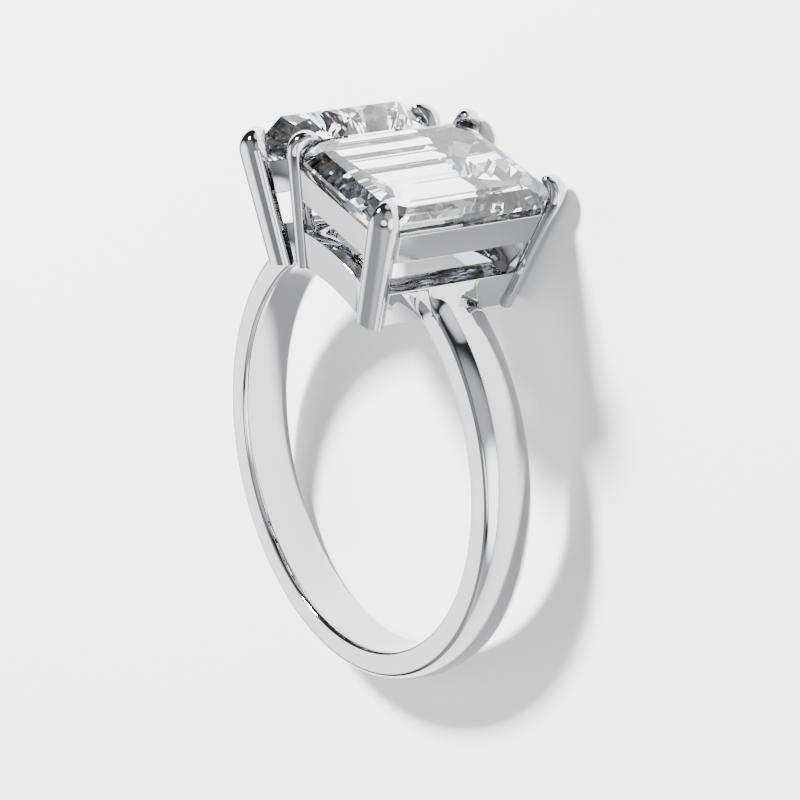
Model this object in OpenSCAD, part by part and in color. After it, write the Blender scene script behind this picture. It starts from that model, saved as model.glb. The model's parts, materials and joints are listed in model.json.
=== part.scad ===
// Two-stone ring: a domed band, an emerald cut and a pear cut in claw baskets that lean apart.
// Ring frame: X across the finger, Y along it, Z up to the stones, origin in the finger hole's centre.
// The last section lays that ring on its side, as it comes to rest on a table. Millimetres.

/* [Band] */
// Inner radius of the finger hole
finger_r = 8.5; // [7:0.05:11]
// Width of the band along the finger
band_w = 2.33; // [1.6:0.01:4]
// Radius where the flat side face begins, past the rounded inner edge
side_in_r = 8.67; // [7:0.01:11.5]
// Radius where the flat side face ends and the dome begins
side_out_r = 9.4; // [7.5:0.01:12]
// Crest radius of the domed outside
crest_r = 9.9; // [8:0.01:12.5]
// Length of the rounded inner edge along the finger
ease_w = 0.36; // [0:0.01:0.8]
// Radius of the dome's shoulder
shoulder_r = 0.28; // [0.05:0.01:0.5]

/* [Emerald cut stone] */
// Lean of the stone towards +X, degrees
em_tilt = 16.9; // [0:0.1:30]
// Middle of its basket's upper edge, along X
em_x = 3.65; // [2:0.01:6]
// Middle of its basket's upper edge, above the finger's axis
em_z = 12.04; // [10:0.01:15]
// Width and length over the girdle
em_w = 6.76; // [3:0.01:9]
em_l = 8.66; // [3:0.01:12]
// Leg of the corner cut at the girdle
em_cut = 0.9; // [0.2:0.01:2]
// Rise of the table over the basket's edge, and the girdle's underside
em_table = 1.28; // [0.6:0.01:2]
em_girdle = 0.3; // [0:0.01:1]

/* [Pear cut stone] */
// Lean of the stone towards -X, degrees
pe_tilt = 13; // [0:0.1:30]
// Turn about its own axis, which brings the tip towards the other stone, degrees
pe_turn = 8; // [-20:0.5:20]
// Middle of its basket's upper edge, along -X and above the finger's axis
pe_x = 2.3; // [2:0.01:6]
pe_z = 12.46; // [10:0.01:15]
// Shift along the finger
pe_y = -0.4; // [-2:0.01:2]
// Width and length over the girdle
pe_w = 5.8; // [3:0.01:9]
pe_l = 8.6; // [4:0.01:12]
// Rise of the table over the basket's edge, and the girdle's underside
pe_table = 1.72; // [0.6:0.01:2.5]
pe_girdle = 0.45; // [0:0.01:1]
// Table's share of the outline
pe_share = 0.68; // [0.4:0.01:0.8]

/* [Baskets] */
// Height of the upper gallery rail
rail_h = 1.34; // [0.5:0.01:2]
// Wall of the upper rails
rail_t = 0.55; // [0.3:0.01:1]
// Wall of the emerald basket's lower gallery, a broad ledge
gallery_t = 1; // [0.3:0.01:1.5]
// Inward slope of the basket's sides, mm per mm of depth
taper = 0.166; // [0:0.001:0.3]
// Outer radius of the lower gallery, about the finger's axis
gallery_r = 10.13; // [9:0.01:12]
// Distance from the emerald basket's edge to the stone's girdle, seen from above
em_rim = 0.06; // [0:0.01:0.3]
// Corner cut of the emerald basket's rails
rail_cut = 0.95; // [0.2:0.01:2]
// Half width and thickness of a claw at the girdle
claw_hw = 0.62; // [0.3:0.01:1]
claw_t = 0.72; // [0.3:0.01:1]
// Lean of the claws, mm per mm of height
claw_lean = 0.235; // [0:0.001:0.5]
// Lean of the claw over the pear's tip
tip_lean = 0.161; // [0:0.001:0.5]
// Space kept between a stone and its metal
seat_gap = 0.03; // [0.01:0.01:0.1]

/* [Pose] */
// Lay the ring on its side, as it rests on a table
laid = true; // [true, false]
// Shift that centres the lying ring's outline over the origin
shift_x = 0; // [-20:0.001:20]
shift_y = -2.461; // [-20:0.001:20]

/* [Show] */
// Node to draw, or all

/* [Hidden] */
$fn = 96;
hw = band_w / 2;
eps = 0.01;

function lerp(a, b, t) = a + (b - a) * t;
function ring_faces(count, rings, flip) = [for (k = [0 : rings - 2], i = [0 : count - 1], h = [0, 1])
    let (a = k * count + i, b = k * count + (i + 1) % count, c = a + count, d = b + count)
    h == 0 ? (flip ? [a, b, c] : [a, c, b]) : (flip ? [b, d, c] : [b, c, d])];
function flat(lists) = [for (l = lists, p = l) p];
// Closed solid through rings with equal counts of points; flip turns its faces.
module loft(rings, flip = false) {
    n = len(rings[0]);
    last = (len(rings) - 1) * n;
    bottom = [for (i = [0 : n - 1]) flip ? n - 1 - i : i];
    top = [for (i = [0 : n - 1]) last + (flip ? i : n - 1 - i)];
    polyhedron(flat(rings), concat([bottom], ring_faces(n, len(rings), flip), [top]), convexity = 6);
}
// Rectangle with cut corners, half sizes hu and hv, at height n.
function cut_rect(n, hu, hv, c) = [for (q = [[1, 1], [-1, 1], [-1, -1], [1, -1]], e = [0, 1])
    let (first = (q[0] * q[1] > 0) == (e == 0)) first ? [q[0] * hu, q[1] * (hv - c), n]
    : [q[0] * (hu - c), q[1] * hv, n]];

// Places a basket and its stone: local z is the stone's axis.
module at_emerald() translate([em_x, 0, em_z]) rotate([0, em_tilt, 0]) children();
module at_pear() translate([-pe_x, pe_y, pe_z]) rotate([0, -pe_tilt, 0]) rotate([0, 0, pe_turn])
    children();

// Steps of the emerald cut: height over the girdle's underside, inset from the girdle, corner cut.
em_crown = em_table - em_girdle - 0.15;
em_steps = [
    [-3.1, em_w / 2 - 0.04, 0.03],
    [-2.13, 1.9, 0.42],
    [-1.07, 0.78, 0.72],
    [0, 0, em_cut],
    [0.15, 0, em_cut],
    [0.15 + em_crown * 0.45, 0.23, em_cut * 0.94],
    [0.15 + em_crown * 0.8, 0.5, em_cut * 0.86],
    [0.15 + em_crown, 0.8, em_cut * 0.78]];
function em_rings(g) = [for (s = em_steps) cut_rect(em_girdle + s[0] + (s[0] <= 0 ? -g : g),
    em_w / 2 - s[1] + g, em_l / 2 - s[1] + g, s[2] + g * 0.4)];
module emerald_solid(g = 0) loft(em_rings(g));

// Outline of the pear: two long arcs that meet at the tip, and a half circle.
pw = pe_w / 2;
tip_l = pe_l - pw;                              // belly line to tip
flank_r = (tip_l * tip_l + pw * pw) / (2 * pw); // both flanks are arcs of this radius
belly_y = pe_l / 2 - pw;
sharp = acos((flank_r - pw) / flank_r);          // turn of a flank from belly to tip
// Outline at parameter 0 to 1 from the tip over the +X flank and round end back to the tip.
flank_len = flank_r * sharp * PI / 180;
round_len = pw * PI;
function pear_at(t) = let (all = 2 * flank_len + round_len, s = t * all)
    s < flank_len ? let (a = -sharp * (1 - s / flank_len))
        [pw - flank_r + flank_r * cos(a), belly_y + flank_r * sin(a)]
    : s < flank_len + round_len ? let (a = (s - flank_len) / round_len * 180)
        [pw * cos(a), belly_y + pw * sin(a)]
    : let (a = -sharp * (s - flank_len - round_len) / flank_len)
        [flank_r - pw - flank_r * cos(a), belly_y + flank_r * sin(a)];
mains = 8;
per = 6;                                         // girdle points from one main facet to the next
pear_n = mains * per;
pear_mid = [0, belly_y - 0.55];
function pear_in(t, k, n) = let (p = pear_at(t % 1)) [pear_mid[0] + (p[0] - pear_mid[0]) * k,
    pear_mid[1] + (p[1] - pear_mid[1]) * k, n];
// Brilliant facets: 8 kites, 8 stars and 16 girdle facets over, 8 mains and 16 girdle facets under.
module pear_solid(g = 0) {
    lo = pe_girdle - g;
    hi = pe_girdle + 0.15 + g;
    top = pe_table + g;
    k = 1 + g / pw;
    low = [for (i = [0 : pear_n - 1]) pear_in(i / pear_n, k, lo)];
    high = [for (i = [0 : pear_n - 1]) pear_in(i / pear_n, k, hi)];
    table = [for (i = [0 : mains - 1]) pear_in(i / mains, pe_share * k, top)];
    knee_n = lerp(hi, top, 0.62);
    knee = [for (i = [0 : mains - 1]) pear_in((i + 0.5) / mains, (pe_share + 1) / 2 * k, knee_n)];
    mid = [for (i = [0 : mains - 1]) pear_in((i + 0.5) / mains, 0.3 * k, lo - 1.9)];
    culet = [[pear_mid[0], pear_mid[1], lo - 2.6]];
    pts = concat(low, high, table, knee, mid, culet);
    h0 = pear_n; t0 = 2 * pear_n; k0 = t0 + mains; m0 = k0 + mains; c0 = m0 + mains;
    faces = concat(
        [[for (i = [0 : mains - 1]) t0 + i]],
        [for (i = [0 : pear_n - 1], h = [0, 1]) let (j = (i + 1) % pear_n)
            h == 0 ? [i, j, h0 + i] : [j, h0 + j, h0 + i]],
        [for (m = [0 : mains - 1]) let (n = (m + 1) % mains) [t0 + m, k0 + m, t0 + n]],
        [for (m = [0 : mains - 1]) let (p = (m + mains - 1) % mains) [t0 + m, k0 + p, h0 + m * per]],
        [for (m = [0 : mains - 1]) [t0 + m, h0 + m * per, k0 + m]],
        [for (m = [0 : mains - 1], i = [0 : per - 1])
            [k0 + m, h0 + m * per + i, h0 + (m * per + i + 1) % pear_n]],
        [for (m = [0 : mains - 1], i = [0 : per - 1]) [m0 + m, (m * per + i + 1) % pear_n, m * per + i]],
        [for (m = [0 : mains - 1]) let (p = (m + mains - 1) % mains) [m * per, m0 + p, m0 + m]],
        [for (m = [0 : mains - 1]) let (p = (m + mains - 1) % mains) [c0, m0 + m, m0 + p]]);
    polyhedron(pts, [for (f = faces) [for (i = [len(f) - 1 : -1 : 0]) f[i]]], convexity = 4);
}
// Pear outline grown by d, from true arcs.
module pear_2d(d) {
    translate([0, belly_y]) intersection() {
        circle(r = pw + d, $fn = 96);
        translate([-20, 0]) square([40, 20]);
    }
    intersection() {
        translate([-(flank_r - pw), belly_y]) circle(r = flank_r + d, $fn = 180);
        translate([flank_r - pw, belly_y]) circle(r = flank_r + d, $fn = 180);
        translate([-20, belly_y - 20]) square([40, 20 + eps]);
    }
}

// Half-round section across a claw at a point of its path, leaning by angle a towards the stone.
function claw_ring(r, n, a, w, out, inn) = concat(
    [for (i = [0 : 8]) let (t = 180 * i / 8, d = out * sin(t))
        [r + cos(a) * d, w * cos(t), n + sin(a) * d]],
    [for (s = [-0.92, 0.92]) [r - cos(a) * inn, s * w, n - sin(a) * inn]]);
bend_r = 0.6;
claw_foot = -5.4;                                // inside the band's height, cut off by the finger hole
claw_top = 1.55;
// Path: a straight leg from depth foot, then a bend over the girdle to the tip. top moves the bend up.
function claw_rings(foot, top, w, t, lean) = let (
    a0 = -atan(lean), n0 = top - 1.08, r0 = lean * n0,
    cr = r0 - bend_r * cos(a0), cn = n0 - bend_r * sin(a0)) concat(
    [for (k = [0, 0.5, 1]) let (n = lerp(foot, n0, k))
        claw_ring(lean * n, n, a0, w * lerp(0.88, 1, k), t * lerp(0.44, 0.48, k),
            t * lerp(0.36, 0.54, k))],
    // turn, share of the width, share of the thickness
    [for (s = [[12, 0.99, 1], [34, 0.94, 0.95], [56, 0.83, 0.87], [76, 0.66, 0.74], [92, 0.46, 0.56],
        [103, 0.24, 0.34]])
        claw_ring(cr + bend_r * cos(s[0]), cn + bend_r * sin(s[0]), s[0], w * s[1],
            t * 0.48 * s[2], t * 0.5 * s[2])]);
module claw(top = claw_top, w = claw_hw, t = claw_t, lean = claw_lean)
    loft(claw_rings(claw_foot, top, w, t, lean), true);
// Waisted web between the rails, behind a claw.
web_n1 = -3.2;
web_n2 = -0.9;
module claw_web(lean = claw_lean) {
    waist = [for (i = [0 : 8]) let (t = i / 8, n = lerp(web_n1, web_n2, t))
        [lean * n - 0.78 + 0.34 * sin(180 * t), n]];
    rotate([90, 0, 0]) linear_extrude(0.5, center = true)
        polygon(concat([[lean * web_n2, web_n2], [lean * web_n1, web_n1]], waist));
}

// Rails and claws of the two baskets.
rail_u = em_w / 2 + em_rim;
rail_v = em_l / 2 + em_rim;
claw_u = rail_u - 0.25;                          // middle of a claw on the upper edge
claw_v = rail_v - 0.25;
module em_shell(d, n1, n2) loft([for (n = [n1, n2])
    cut_rect(n, rail_u + taper * n - d, rail_v + taper * n - d, rail_cut - 0.586 * d)]);
// Band between the finger hole and the gallery's outer radius.
module gallery_space() rotate([90, 0, 0]) difference() {
    cylinder(r = gallery_r, h = 24, center = true, $fn = 180);
    cylinder(r = finger_r - 0.4, h = 25, center = true, $fn = 180);
}
module em_claws() for (sx = [-1, 1], sy = [-1, 1])
    translate([sx * claw_u, sy * claw_v, 0]) rotate([0, 0, atan2(sy, sx)]) {
        claw();
        claw_web();
    }
module em_rails() {
    difference() {
        loft([for (s = [[-rail_h, 0], [-0.09, 0], [0, 0.09]])
            cut_rect(s[0], rail_u + taper * s[0] - s[1], rail_v + taper * s[0] - s[1], rail_cut)]);
        em_shell(rail_t, -rail_h - 1, 1);
    }
}
module em_gallery() difference() {
    em_shell(0, -6, -2);
    em_shell(gallery_t, -7, -1);
}
module emerald_basket() {
    at_emerald() {
        em_rails();
        em_claws();
    }
    intersection() {
        at_emerald() em_gallery();
        gallery_space();
    }
}
round_claw_a = 35;                               // round end's claws, from the long axis
module pe_claws() {
    translate([0, -pe_l / 2 - 0.04, 0]) rotate([0, 0, -90]) {
        claw(w = 0.64, t = 0.78, lean = tip_lean);
        claw_web(tip_lean);
    }
    for (s = [-1, 1]) {
        translate([0, belly_y, 0]) rotate([0, 0, 90 - s * round_claw_a]) translate([pw + 0.12, 0, 0]) {
            claw(top = 1.6, w = 0.55);
            claw_web();
        }
    }
}
module pe_ring(d, t, n1, n2) translate([0, 0, n1]) linear_extrude(n2 - n1) difference() {
    pear_2d(d);
    pear_2d(d - t);
}
module pear_basket() {
    at_pear() {
        pe_ring(0.04, 0.5, -rail_h, 0);
        pe_claws();
    }
    intersection() {
        at_pear() pe_ring(-0.55, 0.5, -6, -2);
        gallery_space();
    }
}

// Section of the band: rounded inside, flat sides, domed outside.
half_flat = hw - ease_w;
dome_r = (pow(crest_r - side_out_r, 2) - pow(shoulder_r, 2) + pow(hw - shoulder_r, 2))
    / (2 * (crest_r - side_out_r - shoulder_r));
dome_a = atan2(hw - shoulder_r, dome_r - (crest_r - side_out_r));
function half_profile() = concat(
    [for (i = [0 : 4]) let (t = 22.5 * i)
        [side_in_r - (side_in_r - finger_r) * cos(t), half_flat + ease_w * sin(t)]],
    [for (i = [0 : 5]) let (t = lerp(90, dome_a, i / 5))
        [side_out_r + shoulder_r * cos(t), hw - shoulder_r + shoulder_r * sin(t)]],
    [for (i = [1 : 5]) let (t = lerp(dome_a, 0, i / 5))
        [crest_r - dome_r + dome_r * cos(t), dome_r * sin(t)]]);
band_from = 112.6;                               // both ends lie inside the galleries' walls
band_to = 417.5;
module band() {
    h = half_profile();
    n = len(h);
    rotate([90, 0, 0]) rotate([0, 0, band_from]) rotate_extrude(angle = band_to - band_from, $fn = 180)
        polygon(concat(h, [for (i = [n - 2 : -1 : 0]) [h[i][0], -h[i][1]]]));
}
// Concave fillet between a side of the band and a gallery wall, in that basket's frame. It starts at
// nothing on the wall's lower edge and is out by a and along the wall by v at the top. side is -1 or 1.
module fillet_wedge(u, n1, n2, a, v, side) {
    fall = 1.05;                                 // the top slopes as the band falls away from the wall
    edge = concat([for (i = [0 : 8]) let (t = 90 * i / 8) [a * (1 - sin(t)), hw + v * (1 - cos(t))]],
        [[-0.3, hw + v], [-0.3, hw - 0.4], [a, hw - 0.4]]);
    top = [for (p = edge) [u + p[0], side * p[1], n2 - fall * max(p[0], 0)]];
    count = len(top);
    tip = [u + taper * (n1 - n2) - 0.02, side * (hw - 0.02), n1];
    sides = [for (i = [0 : count - 1]) [i, (i + 1) % count, count]];
    lid = [for (i = [0 : count - 1]) count - 1 - i];
    faces = concat([lid], sides);
    polyhedron(concat(top, [tip]), convexity = 4,
        faces = side < 0 ? [for (f = faces) [for (i = [len(f) - 1 : -1 : 0]) f[i]]] : faces);
}

// The gallery wall that the band's +X end meets, in the emerald basket's frame.
wall_n1 = -4.57;
wall_n2 = -2.9;
wall_u = rail_u + taper * wall_n2;

// Both baskets and the fillets are one cast body; the zero size leaves it as large as it is drawn.
module head() resize([0, 0, 0]) difference() {
    union() {
        emerald_basket();
        pear_basket();
        at_emerald() {
            fillet_wedge(wall_u, wall_n1, wall_n2, 0.9, 1.95, -1);
            fillet_wedge(wall_u, wall_n1, wall_n2, 0.9, 0.4, 1);
        }
    }
    at_emerald() emerald_solid(seat_gap);
    at_pear() pear_solid(seat_gap);
}
module ring_metal() difference() {
    union() {
        band();
        head();
    }
    rotate([90, 0, 0]) cylinder(r = finger_r, h = 30, center = true, $fn = 180);
}

// The ring lies on two of the emerald's claws and the band's edge; down is the normal of that plane.
function to_ring(p) = [em_x + p[0] * cos(em_tilt) + p[2] * sin(em_tilt), p[1],
    em_z - p[0] * sin(em_tilt) + p[2] * cos(em_tilt)];
function turned(p, a) = [p[0] * cos(a) - p[1] * sin(a), p[0] * sin(a) + p[1] * cos(a), p[2]];
function claw_points(sx) = [
    for (ring = claw_rings(claw_foot, claw_top, claw_hw, claw_t, claw_lean), p = ring)
    to_ring(turned(p, atan2(1, sx)) + [sx * claw_u, claw_v, 0])];
function farthest(pts, m) = let (d = [for (p = pts) p * m], top = max(d))
    [for (i = [0 : len(d) - 1]) if (d[i] == top) pts[i]][0];
function band_farthest(m) = let (q = norm([m[0], m[2]]), p = farthest(half_profile(), [q, m[1]]))
    [p[0] * m[0] / q, p[1], p[0] * m[2] / q];
function plane_of(a, b, c) = let (n = cross(b - a, c - a), k = sign(n[1]) / norm(n)) n * k;
function down_of(m, rounds) = rounds == 0 ? m
    : let (a = farthest(claw_points(-1), m), b = farthest(claw_points(1), m))
        down_of(plane_of(a, b, band_farthest(m)), rounds - 1);
down = down_of([-0.045, 0.988, -0.149], 6);
drop = down * band_farthest(down);
lean_x = -90 - atan2(down[2], down[1]);
lean_y = atan2(down[0], sqrt(down[1] * down[1] + down[2] * down[2]));
module posed() {
    if (laid) translate([shift_x, shift_y, drop]) rotate([0, lean_y, 0]) rotate([lean_x, 0, 0]) children();
    else children();
}

module band_and_baskets() color([0.86, 0.87, 0.89]) posed() ring_metal();
module emerald_stone() color([0.85, 0.93, 0.98]) posed() at_emerald() emerald_solid();
module pear_stone() color([0.95, 0.9, 0.85]) posed() at_pear() pear_solid();

band_and_baskets();
emerald_stone();
pear_stone();
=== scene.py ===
"""Two-stone ring of white metal: an emerald cut and a pear cut in claw baskets.

Every piece is drawn upright in millimetres, with X across the finger, Y along the finger's axis and
Z up to the stones, and is then laid on its side on the table.
"""

import json
from math import acos, atan2, copysign, cos, hypot, pi, radians, sin, tan

import bmesh
import bpy
from mathutils import Matrix, Vector


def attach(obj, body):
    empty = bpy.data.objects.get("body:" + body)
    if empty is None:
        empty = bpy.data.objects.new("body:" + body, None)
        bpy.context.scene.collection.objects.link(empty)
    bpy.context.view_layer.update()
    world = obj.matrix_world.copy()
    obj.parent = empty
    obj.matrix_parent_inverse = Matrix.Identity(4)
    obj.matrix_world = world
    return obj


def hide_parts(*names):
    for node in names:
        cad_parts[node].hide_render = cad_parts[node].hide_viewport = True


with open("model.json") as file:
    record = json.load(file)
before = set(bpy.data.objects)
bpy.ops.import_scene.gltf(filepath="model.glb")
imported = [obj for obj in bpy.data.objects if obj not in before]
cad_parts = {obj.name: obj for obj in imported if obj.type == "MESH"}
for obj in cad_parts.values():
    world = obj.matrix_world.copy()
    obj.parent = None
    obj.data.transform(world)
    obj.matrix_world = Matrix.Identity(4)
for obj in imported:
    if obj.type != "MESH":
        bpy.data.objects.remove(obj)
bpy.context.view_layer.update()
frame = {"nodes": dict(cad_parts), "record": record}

# Emerald basket: two rails and four corner claws, cast in white metal and polished. The upper rail
# carries the stone, and the lower one is arched over the finger and soldered to the band's end.
# The basket narrows downwards and leans towards +X.
hole = frame["record"]["mounts"][0]
hole_axis = Vector(hole["axis"])
finger_r = hole["dims"]["r_mm"]
# From the upright ring in millimetres to the laid one in metres, about the frame's finger hole.
lay_down = (
    Matrix.Translation(Vector(hole["pos_m"]))
    @ Matrix.Rotation(atan2(hole_axis.x, hole_axis.z), 4, "Y")
    @ Matrix.Rotation(-acos(-hole_axis.y), 4, "X")
    @ Matrix.Scale(0.001, 4)
)

emerald_lean, emerald_x, emerald_z = radians(16.9), 3.65, 12.04
at_emerald = Matrix.Translation((emerald_x, 0, emerald_z)) @ Matrix.Rotation(emerald_lean, 4, "Y")
rail_half_u, rail_half_v, rail_corner = 3.44, 4.39, 0.95
corner_shrink = 0.586  # Share of an inset by which a cut corner shortens, 2 - sqrt(2).
wall_taper = 0.166
rail_height, rail_thick = 1.34, 0.55
lip_wide, lip_drop, emerald_seat_drop = 0.1, 0.04, 0.64
inner_rise = 0.03
gallery_r, gallery_thick = 10.13, 1.0
# Each line of a basket meets the finger hole and the gallery's radius between these heights.
deepest_n, highest_n = -6.0, -1.0
rail_ease, rib_ease = 0.045, 0.04


def polished_metal():
    """White metal, mirror bright, with the faint unevenness that a hand polish leaves."""
    m = bpy.data.materials.new("polished white metal")
    m.use_nodes = True
    nodes, links = m.node_tree.nodes, m.node_tree.links
    shader = nodes["Principled BSDF"]
    shader.inputs["Base Color"].default_value = (0.47, 0.47, 0.48, 1)
    shader.inputs["Metallic"].default_value = 1.0
    where = nodes.new("ShaderNodeTexCoord")
    wipes = nodes.new("ShaderNodeTexNoise")
    wipes.inputs["Scale"].default_value = 900.0
    wipes.inputs["Detail"].default_value = 3.0
    gloss = nodes.new("ShaderNodeMapRange")
    gloss.inputs["To Min"].default_value = 0.025
    gloss.inputs["To Max"].default_value = 0.06
    links.new(where.outputs["Object"], wipes.inputs["Vector"])
    links.new(wipes.outputs["Fac"], gloss.inputs["Value"])
    links.new(gloss.outputs["Result"], shader.inputs["Roughness"])
    return m


metal = polished_metal()


def hoop(bm, points):
    """A closed loop of edges through these points."""
    verts = [bm.verts.new(p) for p in points]
    return [bm.edges.new((verts[i - 1], v)) for i, v in enumerate(verts)]


def laid_piece(bm, name, material):
    """The piece laid down with the ring, which it rides on, in this material."""
    bmesh.ops.transform(bm, matrix=lay_down, verts=bm.verts)
    mesh = bpy.data.meshes.new(name)
    bm.to_mesh(mesh)
    bm.free()
    mesh.materials.append(material)
    piece = bpy.data.objects.new(name, mesh)
    bpy.context.scene.collection.objects.link(piece)
    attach(piece, "root")
    return piece


def finish_metal(bm, name, ease=0.0, crease=32):
    """Eases the edges sharper than the crease, in degrees, and hands the piece over as metal."""
    bmesh.ops.recalc_face_normals(bm, faces=bm.faces)
    if ease:
        sharp = [e for e in bm.edges if e.is_manifold and e.calc_face_angle() > radians(crease)]
        bmesh.ops.bevel(bm, geom=sharp, offset=ease, offset_type="OFFSET", affect="EDGES",
                        segments=3, profile=0.5, material=-1, clamp_overlap=True)
    piece = laid_piece(bm, name, metal)
    piece.data.shade_smooth()
    piece.data.set_sharp_from_angle(angle=radians(crease))
    piece.modifiers.new("even flats", "WEIGHTED_NORMAL").keep_sharp = True
    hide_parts("band_and_baskets")


def cut_corners(half_u, half_v, cut):
    """The eight corners, in order, of a rectangle whose own corners are cut off."""
    corners = []
    for su, sv in ((1, 1), (-1, 1), (-1, -1), (1, -1)):
        pair = [Vector((su * half_u, sv * (half_v - cut))),
                Vector((su * (half_u - cut), sv * half_v))]
        corners += pair if su * sv > 0 else pair[::-1]
    return corners


def emerald_outline(inset, steps):
    """The emerald rail's outline at its upper edge, this far inside, with steps along each side."""
    corners = cut_corners(rail_half_u - inset, rail_half_v - inset,
                          rail_corner - corner_shrink * inset)
    outline = []
    for i, corner in enumerate(corners):
        following = corners[(i + 1) % len(corners)]
        outline += [corner.lerp(following, step / steps) for step in range(steps)]
    return outline


def tapered(point, n):
    """The outline's point at height n on the emerald basket's wall, which leans inwards."""
    u, v = point
    lean = wall_taper * n
    return Vector((u * (1 + lean / rail_half_u), v * (1 + lean / rail_half_v), n))


def halved(low, high, past):
    """The value from which on past(value) is true, found by halving between low and high."""
    for _ in range(40):
        middle = (low + high) / 2
        if past(middle):
            high = middle
        else:
            low = middle
    return (low + high) / 2


def reach(place, at, radius):
    """The point on the upright line at(n) that stands this far from the finger's axis."""
    def outside(n):
        p = place @ at(n)
        return hypot(p.x, p.z) > radius

    return at(halved(deepest_n, highest_n, outside))


def close_wall(bm, loops):
    """Closes a circuit of loops to a tube of wall."""
    for i, loop in enumerate(loops):
        bmesh.ops.bridge_loops(bm, edges=loops[i - 1] + loop)


def upper_rail(name, place, drawn, outer, lip, inner, seat_drop):
    """A rail whose top slopes down from a narrow lip, as the stone's seat."""
    profile = ((outer, -rail_height), (outer, 0), (lip, -lip_drop), (inner, -seat_drop),
               (inner, inner_rise - rail_height))
    bm = bmesh.new()
    close_wall(bm, [hoop(bm, [place @ drawn(p, n) for p in line]) for line, n in profile])
    finish_metal(bm, name, rail_ease)


def lower_rail(name, place, drawn, outer, inner):
    """A rail arched over the finger, from the finger hole up to the gallery's outer radius."""
    profile = ((outer, finger_r), (outer, gallery_r), (inner, gallery_r), (inner, finger_r))
    bm = bmesh.new()
    loops = []
    for line, radius in profile:
        ends = [reach(place, lambda n, p=p: drawn(p, n), radius) for p in line]
        loops.append(hoop(bm, [place @ end for end in ends]))
    close_wall(bm, loops)
    finish_metal(bm, name, rail_ease)


outer, lip, inner = (emerald_outline(inset, steps=6) for inset in (0, lip_wide, rail_thick))
upper_rail("emerald_upper_rail", at_emerald, tapered, outer, lip, inner, emerald_seat_drop)
outer, inner = (emerald_outline(inset, steps=12) for inset in (0, gallery_thick))
lower_rail("emerald_lower_rail", at_emerald, tapered, outer, inner)

# A claw's own axes: r outwards, w across it, and n up, from the upper rail's top.
claw_slope, claw_half, claw_thick, claw_top = 0.235, 0.62, 0.72, 1.55
claw_root_n, claw_leg_n = -5.4, (-2.6, -1.2, -0.2)
knee_drop, bend_r = 1.08, 0.6
tip_turn, tip_rings, tip_least = radians(112), 24, 0.0003
# Half width, front and back at the root and at the knee, as shares of the claw's own sizes.
root_shares, knee_shares = (0.88, 0.44, 0.36), (1.0, 0.48, 0.54)
rib_low, rib_high, rib_half = -3.2, -0.9, 0.25
rib_thick, rib_waist, rib_steps = 0.8, 0.36, 16


def claw_ring(r, n, tilt, half_w, front, back):
    """One ring of points round a claw, square to its run: round in front, flatter behind."""
    front_points, back_points = 24, 16
    ring = []
    for i in range(front_points):
        t = pi * i / front_points
        ring.append((front * sin(t), half_w * cos(t)))
    for i in range(back_points):
        t = pi + pi * i / back_points
        ring.append((-back * abs(sin(t)) ** 0.5, half_w * copysign(abs(cos(t)) ** 0.6, cos(t))))
    return [Vector((r + cos(tilt) * d, w, n + sin(tilt) * d)) for d, w in ring]


def solid_through(bm, rings):
    """A solid through rings of points, closed at both ends."""
    loops = [hoop(bm, ring) for ring in rings]
    for loop, following in zip(loops, loops[1:]):
        bmesh.ops.bridge_loops(bm, edges=loop + following)
    for end in (loops[0], loops[-1]):
        bmesh.ops.contextual_create(bm, geom=end)


def claw(name, place, top=claw_top, half_w=claw_half, thick=claw_thick, slope=claw_slope):
    """A straight leg up from the finger hole, bent over the girdle to a round tip."""
    lean = -atan2(slope, 1)
    knee_n = top - knee_drop
    bend_c, bend_n = slope * knee_n - bend_r * cos(lean), knee_n - bend_r * sin(lean)

    def leg(n):
        k = (n - claw_root_n) / (knee_n - claw_root_n)
        wide, front, back = (a + (b - a) * k for a, b in zip(root_shares, knee_shares))
        return claw_ring(slope * n, n, lean, half_w * wide, thick * front, thick * back)

    foot = [reach(place, lambda n, i=i: leg(n)[i], finger_r) for i in range(len(leg(0)))]
    rings = [foot] + [leg(n) for n in (*claw_leg_n, knee_n)]
    wide, front, back = knee_shares
    for i in range(1, tip_rings + 1):
        s = sin(pi / 2 * i / tip_rings)
        turn = lean + (tip_turn - lean) * s
        # The tip narrows from the knee on and keeps its thickness longer, down to all but a point.
        narrow, thin = max(1 - s**1.35, tip_least) ** 0.6, max(1 - s**3, tip_least) ** 0.5
        rings.append(claw_ring(bend_c + bend_r * cos(turn), bend_n + bend_r * sin(turn), turn,
                               half_w * wide * narrow, thick * front * thin, thick * back * thin))
    bm = bmesh.new()
    solid_through(bm, [[place @ p for p in ring] for ring in rings])
    finish_metal(bm, name, crease=40)


def rib(name, place, slope=claw_slope):
    """The waisted rib behind a claw, between the two rails."""
    outline = [(slope * rib_high, rib_high), (slope * rib_low, rib_low)]
    for i in range(rib_steps + 1):
        t = i / rib_steps
        n = rib_low + (rib_high - rib_low) * t
        outline.append((slope * n - rib_thick + rib_waist * sin(pi * t), n))
    bm = bmesh.new()
    flat = hoop(bm, [place @ Vector((r, -rib_half, n)) for r, n in outline])
    face = bmesh.ops.contextual_create(bm, geom=flat)["faces"]
    grown = bmesh.ops.extrude_face_region(bm, geom=face)["geom"]
    moved = [g for g in grown if isinstance(g, bmesh.types.BMVert)]
    bmesh.ops.translate(bm, verts=moved, vec=place.to_3x3() @ Vector((0, 2 * rib_half, 0)))
    finish_metal(bm, name, rib_ease)


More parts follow.
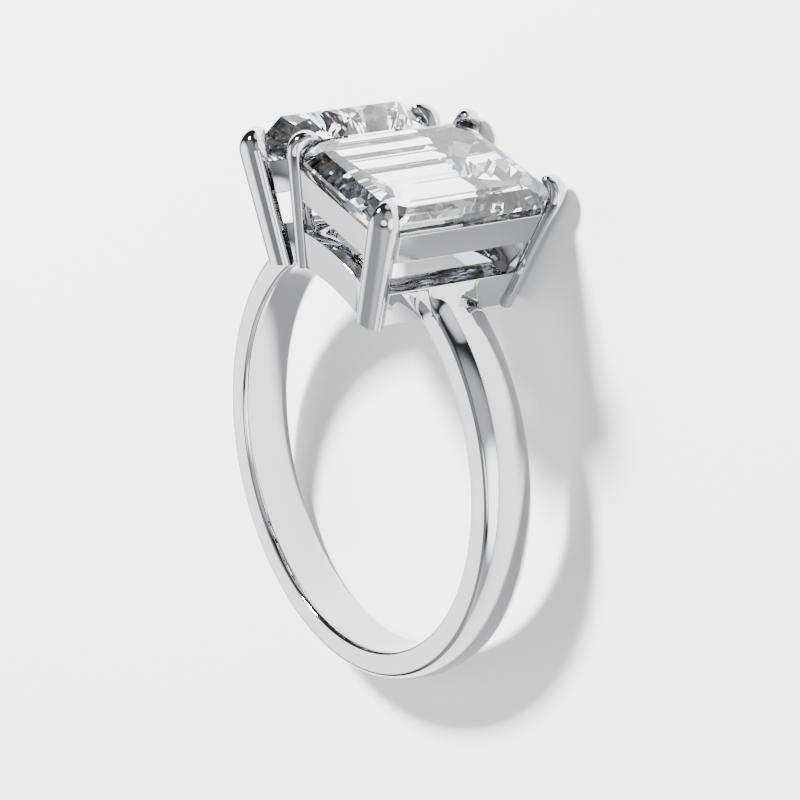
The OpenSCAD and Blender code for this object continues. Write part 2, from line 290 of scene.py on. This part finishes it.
claw_inset = 0.25
claw_u, claw_v = rail_half_u - claw_inset, rail_half_v - claw_inset
for su, side in ((-1, "in"), (1, "out")):
    for sv, end in ((-1, "front"), (1, "back")):
        corner = (at_emerald @ Matrix.Translation((su * claw_u, sv * claw_v, 0))
                  @ Matrix.Rotation(atan2(sv, su), 4, "Z"))
        claw(f"emerald_claw_{side}_{end}", corner)
        rib(f"emerald_claw_{side}_{end}_rib", corner)

# Pear basket: cast in the same white metal on the pear's outline, and leaning the other way. Its
# lower rail is soldered to the band's other end. One claw stands over the tip, and two hold the
# round end.
pear_lean, pear_turn = radians(-13), radians(8)
pear_x, pear_y, pear_z = -2.3, -0.4, 12.46
pear_width, pear_length = 5.8, 8.6
at_pear = (
    Matrix.Translation((pear_x, pear_y, pear_z))
    @ Matrix.Rotation(pear_lean, 4, "Y")
    @ Matrix.Rotation(pear_turn, 4, "Z")
)
belly_r = pear_width / 2
belly_v = pear_length / 2 - belly_r
tip_length = pear_length - belly_r
flank_r = (tip_length**2 + belly_r**2) / (2 * belly_r)
# How far each line of the two rails lies outside the pear's own outline.
pear_rail_out, pear_lip_out, pear_inner_out = 0.04, -0.4, -0.46
pear_gallery_out, pear_gallery_inner = -0.55, -1.05
pear_seat_drop = 0.12
tip_claw_slope = 0.161
round_claw_turn, round_claw_out = radians(35), 0.12


def pear_outline(grow):
    """The pear's outline grown by so much: two long arcs from the tip and a half circle."""
    flank_steps, cap_steps = 32, 48
    flank = flank_r + grow
    turn = acos((flank_r - belly_r) / flank)
    right = []
    for i in range(flank_steps):
        a = -turn * (1 - i / flank_steps)
        right.append(Vector((belly_r - flank_r + flank * cos(a), belly_v + flank * sin(a))))
    cap = []
    for i in range(cap_steps + 1):
        a = pi * i / cap_steps
        cap.append(Vector(((belly_r + grow) * cos(a), belly_v + (belly_r + grow) * sin(a))))
    left = [Vector((-p.x, p.y)) for p in reversed(right[1:])]
    return right + cap + left


def straight(point, n):
    """The outline's point at height n on the pear basket's upright wall."""
    return Vector((*point, n))


outer, lip, inner = (pear_outline(out) for out in (pear_rail_out, pear_lip_out, pear_inner_out))
upper_rail("pear_upper_rail", at_pear, straight, outer, lip, inner, pear_seat_drop)
outer, inner = (pear_outline(out) for out in (pear_gallery_out, pear_gallery_inner))
lower_rail("pear_lower_rail", at_pear, straight, outer, inner)

at_tip = (at_pear @ Matrix.Translation((0, -pear_length / 2 - pear_rail_out, 0))
          @ Matrix.Rotation(-pi / 2, 4, "Z"))
claw("pear_claw_tip", at_tip, half_w=0.64, thick=0.78, slope=tip_claw_slope)
rib("pear_claw_tip_rib", at_tip, tip_claw_slope)
for s, side in ((-1, "out"), (1, "in")):
    at_side = (at_pear @ Matrix.Translation((0, belly_v, 0))
               @ Matrix.Rotation(pi / 2 - s * round_claw_turn, 4, "Z")
               @ Matrix.Translation((belly_r + round_claw_out, 0, 0)))
    claw(f"pear_claw_round_{side}", at_side, top=1.6, half_w=0.55)
    rib(f"pear_claw_round_{side}_rib", at_side)

# Band: one strip cast in the same white metal, domed outside and eased inside for comfort, with its
# ends soldered to the baskets. At the emerald's it rises to the lower rail's top, with a hollow
# fillet at each side, wide at the front and small at the back.
band_half = 1.165
ease_reach, ease_depth = 0.36, 0.17
side_in_r, side_out_r, crest_r = 8.67, 9.4, 9.9
shoulder_r = 0.28
band_from, plain_to, plain_steps = radians(112.6), radians(402), 290
lift_reach, lift_bend, lift_steps, lift_spacing = 1.0, 2.4, 36, 1.7
lift_top_r = gallery_r - 0.03
band_sunk = 0.06
joint_lowest, joint_highest = radians(15), radians(75)
fillet_skin_sunk, fillet_back_sunk, fillet_steps = 0.02, 0.12, 24


def ring_point(radius, along, turn):
    """A point at this radius and turn round the finger's axis, and this far along it."""
    return Vector((radius * cos(turn), along, radius * sin(turn)))


def half_section():
    """Half of the band's section, from the bore over the side to the crest: radius and offset."""
    round_steps, dome_steps = 8, 12
    rise, reach_y = crest_r - side_out_r, band_half - shoulder_r
    dome_r = (rise**2 - shoulder_r**2 + reach_y**2) / (2 * (rise - shoulder_r))
    dome_turn = atan2(reach_y, dome_r - rise)
    half = []
    for i in range(round_steps + 1):
        t = pi / 2 * i / round_steps
        half.append((finger_r + ease_depth * (1 - cos(t)), band_half - ease_reach * (1 - sin(t))))
    for i in range(round_steps + 1):
        t = pi / 2 + (dome_turn - pi / 2) * i / round_steps
        half.append((side_out_r + shoulder_r * cos(t), reach_y + shoulder_r * sin(t)))
    for i in range(1, dome_steps + 1):
        t = dome_turn * (1 - i / dome_steps)
        half.append((crest_r - dome_r + dome_r * cos(t), dome_r * sin(t)))
    return half


def lifted(radius, gap):
    """A radius of the band's section at this gap from the rail, lifted towards the rail's top."""
    height = min(max((radius - side_in_r) / (side_out_r - side_in_r), 0), 1)
    top = lift_top_r if radius > side_out_r else radius + height * (lift_top_r - side_out_r)
    return radius + (top - radius) * max(1 - gap / lift_reach, 0) ** lift_bend


def turn_off_rail(radius, along, gap):
    """Turn round the finger's axis at which a point stands this far off the rail's outer wall."""
    def within(turn):
        p = at_emerald.inverted() @ ring_point(radius, along, turn)
        return p.x - (rail_half_u + wall_taper * p.z) <= gap

    return halved(joint_lowest, joint_highest, within)


half = half_section()
section = half + [(r, -y) for r, y in reversed(half[:-1])]
bm = bmesh.new()
start = hoop(bm, [ring_point(r, y, band_from) for r, y in section])
grown = bmesh.ops.spin(bm, geom=bm.verts[:] + bm.edges[:], cent=(0, 0, 0), axis=(0, -1, 0),
                       angle=plain_to - band_from, steps=plain_steps, use_merge=False,
                       use_duplicate=False)
last = [g for g in grown["geom_last"] if isinstance(g, bmesh.types.BMEdge)]
bmesh.ops.contextual_create(bm, geom=start)
gaps = [lift_reach * (1 - i / lift_steps) ** lift_spacing for i in range(lift_steps)]
for gap in [*gaps, -band_sunk]:
    moved = [(lifted(r, max(gap, 0)), y) for r, y in section]
    following = hoop(bm, [ring_point(r, y, turn_off_rail(r, y, gap)) for r, y in moved])
    bmesh.ops.bridge_loops(bm, edges=last + following)
    last = following
bmesh.ops.contextual_create(bm, geom=last)
finish_metal(bm, "band")


def corner_fillet(name, way, spread, run):
    """A hollow fillet between the rail's face and the band's side, wide at the top, none below."""
    rings = []
    for i in range(fillet_steps + 1):
        height = i / fillet_steps
        ring = []
        for k in range(fillet_steps + 1):
            t = k / fillet_steps
            gap, out = run * t**2, spread * height * (1 - t) ** 2
            radius = side_in_r + height * (lifted(side_out_r, gap) - side_in_r)
            along = band_half + out - fillet_skin_sunk
            ring.append((radius, way * along, gap - fillet_skin_sunk))
        ring.append((side_in_r + height * (lift_top_r - side_in_r),
                     way * (band_half - fillet_back_sunk), -fillet_back_sunk))
        rings.append([ring_point(r, y, turn_off_rail(r, y, gap)) for r, y, gap in ring])
    bm = bmesh.new()
    solid_through(bm, rings)
    finish_metal(bm, name)


corner_fillet("band_fillet_front", way=-1, spread=1.85, run=0.85)
corner_fillet("band_fillet_back", way=1, spread=0.4, run=0.3)

# Stones: clear, cut and polished, a step cut with long bands and a pear brilliant, held in their
# baskets by the claws. Painted flecks of colour towards their ends stand for the fire of the cut,
# and faint painted glints, which glow, for the light that is lost after many reflections inside.
step_half_u, step_half_v, step_corner = 3.38, 4.33, 0.9
girdle_low, girdle_high = 0.3, 0.45
corner_narrowing, least_corner = 0.265, 0.03
# Height of each upper edge over the girdle's foot, its reach in at side and end, and its corner.
upper_edges = ((0.78, 0.8, 1.0, 0.702), (0.68, 0.5, 0.6, 0.774), (0.46, 0.23, 0.26, 0.846))
# Angle of each lower step, and its reach in from the girdle at the side and at the end.
lower_steps = ((60, 0.5, 0.5), (52, 1.2, 1.02), (46, 2.1, 1.7), (41, 3.34, 2.63))
white, black = (1, 1, 1), (0, 0, 0)
# Colours of the painted fire flecks and of the painted glints, which glow.
fire_blue, fire_orange, glint_white = (0.35, 0.55, 1), (1, 0.62, 0.4), (0.95, 0.97, 1)
fire_from, fire_full = 0.0022, 0.003  # Metres from the emerald cut's middle, along the finger.


def clear_stone():
    """A clear stone that bends light strongly, with its painted flecks of fire and its glowing
    painted glints.
    """
    m = bpy.data.materials.new("clear stone")
    m.use_nodes = True
    nodes, links = m.node_tree.nodes, m.node_tree.links
    shader = nodes["Principled BSDF"]
    shader.inputs["Roughness"].default_value = 0.0
    shader.inputs["IOR"].default_value = 2.42
    shader.inputs["Specular Tint"].default_value = (0.25, 0.25, 0.25, 1)
    shader.inputs["Transmission Weight"].default_value = 1.0
    # How strongly the painted glints glow.
    shader.inputs["Emission Strength"].default_value = 0.05

    where = nodes.new("ShaderNodeTexCoord")
    flecks = nodes.new("ShaderNodeTexVoronoi")
    flecks.inputs["Scale"].default_value = 2400.0
    chance = nodes.new("ShaderNodeSeparateColor")
    links.new(where.outputs["Object"], flecks.inputs["Vector"])
    links.new(flecks.outputs["Color"], chance.inputs["Color"])

    def stepped(channel, steps):
        """A colour that jumps from fleck to fleck: each step's start and colour."""
        ramp = nodes.new("ShaderNodeValToRGB")
        ramp.color_ramp.interpolation = "CONSTANT"
        elements = ramp.color_ramp.elements
        for i, (start, colour) in enumerate(steps):
            element = elements[i] if i < 2 else elements.new(start)
            element.position, element.color = start, (*colour, 1)
        links.new(chance.outputs[channel], ramp.inputs["Fac"])
        return ramp.outputs["Color"]

    # Painted fire: blue and orange flecks in the stone's colour towards its ends.
    fire = stepped("Red", ((0, white), (0.78, fire_blue), (0.86, white), (0.94, fire_orange)))
    # Painted glints: white flecks that glow faintly through the emission.
    links.new(stepped("Green", ((0, black), (0.7, glint_white))), shader.inputs["Emission Color"])

    apart = nodes.new("ShaderNodeSeparateXYZ")
    off_middle = nodes.new("ShaderNodeMath")
    off_middle.operation = "SUBTRACT"
    off_middle.inputs[1].default_value = (lay_down @ Vector((emerald_x, 0, emerald_z))).z
    from_middle = nodes.new("ShaderNodeMath")
    from_middle.operation = "ABSOLUTE"
    ends = nodes.new("ShaderNodeMapRange")
    ends.inputs["From Min"].default_value = fire_from
    ends.inputs["From Max"].default_value = fire_full
    tint = nodes.new("ShaderNodeMix")
    tint.data_type = "RGBA"
    tint.inputs["A"].default_value = (*white, 1)
    links.new(where.outputs["Object"], apart.inputs["Vector"])
    links.new(apart.outputs["Z"], off_middle.inputs[0])
    links.new(off_middle.outputs["Value"], from_middle.inputs[0])
    links.new(from_middle.outputs["Value"], ends.inputs["Value"])
    links.new(ends.outputs["Result"], tint.inputs["Factor"])
    links.new(fire, tint.inputs["B"])
    links.new(tint.outputs["Result"], shader.inputs["Base Color"])
    return m


stone = clear_stone()

edges = list(upper_edges)
edges += [(girdle_high - girdle_low, 0, 0, step_corner), (0, 0, 0, step_corner)]
height, reached = 0, 0
for angle, side, end in lower_steps:
    height -= (side - reached) * tan(radians(angle))
    reached = side
    edges.append((height, side, end, max(step_corner - corner_narrowing * side, least_corner)))
bm = bmesh.new()
solid_through(bm, [
    [at_emerald @ Vector((*p, girdle_low + n))
     for p in cut_corners(step_half_u - side, step_half_v - end, corner)]
    for n, side, end, corner in edges
])
bmesh.ops.recalc_face_normals(bm, faces=bm.faces)
emerald_cut = laid_piece(bm, "emerald_cut", stone)
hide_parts("emerald_stone")

pear_cut = frame["nodes"]["pear_stone"]
pear_cut.data.materials.clear()
pear_cut.data.materials.append(stone)

# Table, light and camera: a plain pale table under soft studio reflectors, with one square light
# high behind the stones. The camera has the photo's view of the ring.
bm = bmesh.new()
bmesh.ops.create_grid(bm, x_segments=1, y_segments=1, size=1.5)
mesh = bpy.data.meshes.new("table_top")
bm.to_mesh(mesh)
bm.free()
pale = bpy.data.materials.new("pale table")
pale.use_nodes = True
pale.node_tree.nodes["Principled BSDF"].inputs["Base Color"].default_value = (0.9, 0.9, 0.9, 1)
pale.node_tree.nodes["Principled BSDF"].inputs["Roughness"].default_value = 0.6
mesh.materials.append(pale)
table_top = bpy.data.objects.new("table_top", mesh)
bpy.context.scene.collection.objects.link(table_top)

# Each soft reflector: turn and height of its middle, the angles from there at which its light is
# still full and at which it has faded out, all in degrees, and its strength.
reflectors = (
    (0, 90, 12, 50, 0.5),
    (-155, 38, 10, 35, 4.2),
    (-14, 2, 8, 34, 7.0),
    (25, 24, 6, 34, 1.1),
    (-60, 14, 8, 30, 1.0),
    (-90, 25, 8, 40, 0.7),
    (80, 8, 6, 22, 2.2),
    (-22, 48, 4, 18, 4.0),
)
room_light = 0.06
studio = bpy.data.worlds.new("studio")
bpy.context.scene.world = studio
studio.use_nodes = True
nodes, links = studio.node_tree.nodes, studio.node_tree.links
way = nodes.new("ShaderNodeTexCoord")
room = nodes.new("ShaderNodeValue")
room.outputs["Value"].default_value = room_light
total = room.outputs["Value"]
for turn, height, full, faded, strength in reflectors:
    t, h = radians(turn), radians(height)
    toward = nodes.new("ShaderNodeVectorMath")
    toward.operation = "DOT_PRODUCT"
    toward.inputs[1].default_value = (cos(t) * cos(h), sin(t) * cos(h), sin(h))
    links.new(way.outputs["Generated"], toward.inputs[0])
    fade = nodes.new("ShaderNodeMapRange")
    fade.interpolation_type = "SMOOTHERSTEP"
    fade.inputs["From Min"].default_value = cos(radians(faded))
    fade.inputs["From Max"].default_value = cos(radians(full))
    fade.inputs["To Max"].default_value = strength
    links.new(toward.outputs["Value"], fade.inputs["Value"])
    both = nodes.new("ShaderNodeMath")
    both.operation = "ADD"
    links.new(total, both.inputs[0])
    links.new(fade.outputs["Result"], both.inputs[1])
    total = both.outputs["Value"]
links.new(total, nodes["Background"].inputs["Strength"])
nodes["Background"].inputs["Color"].default_value = (0.97, 0.98, 1, 1)

key_way, key_distance = Vector((-0.36, 0.6, 0.66)).normalized(), 0.3
key = bpy.data.lights.new("key", "AREA")
key.shape = "SQUARE"
key.size = 0.05
key.energy = 5.4
lamp = bpy.data.objects.new("key", key)
lamp.location = Vector(hole["pos_m"]) + key_way * key_distance
lamp.rotation_mode = "QUATERNION"
lamp.rotation_quaternion = key_way.to_track_quat("Z", "Y")
bpy.context.scene.collection.objects.link(lamp)

# The view is turned and raised from the upright ring's front, and looks at the finger's axis.
view_turn, view_rise, view_distance = radians(55.92), radians(17.67), 130.05
focal_px, frame_px = 3078.0, 800.0
ring_centre_px = (373.74, 448.94)
back = Vector((sin(view_turn) * cos(view_rise), -cos(view_turn) * cos(view_rise), sin(view_rise)))
right = Vector((cos(view_turn), sin(view_turn), 0))
view = Matrix((right, back.cross(right), back)).transposed().to_4x4()
lens = bpy.data.cameras.new("camera")
lens.sensor_width = 36.0
lens.lens = focal_px / frame_px * lens.sensor_width
lens.shift_x = (frame_px / 2 - ring_centre_px[0]) / frame_px
lens.shift_y = (ring_centre_px[1] - frame_px / 2) / frame_px
lens.clip_start, lens.clip_end = 0.005, 10
camera = bpy.data.objects.new("camera", lens)
place = lay_down @ Matrix.Translation(back * view_distance) @ view
camera.location = place.to_translation()
camera.rotation_mode = "QUATERNION"
camera.rotation_quaternion = place.to_3x3().normalized().to_quaternion()
bpy.context.scene.collection.objects.link(camera)
bpy.context.scene.camera = camera
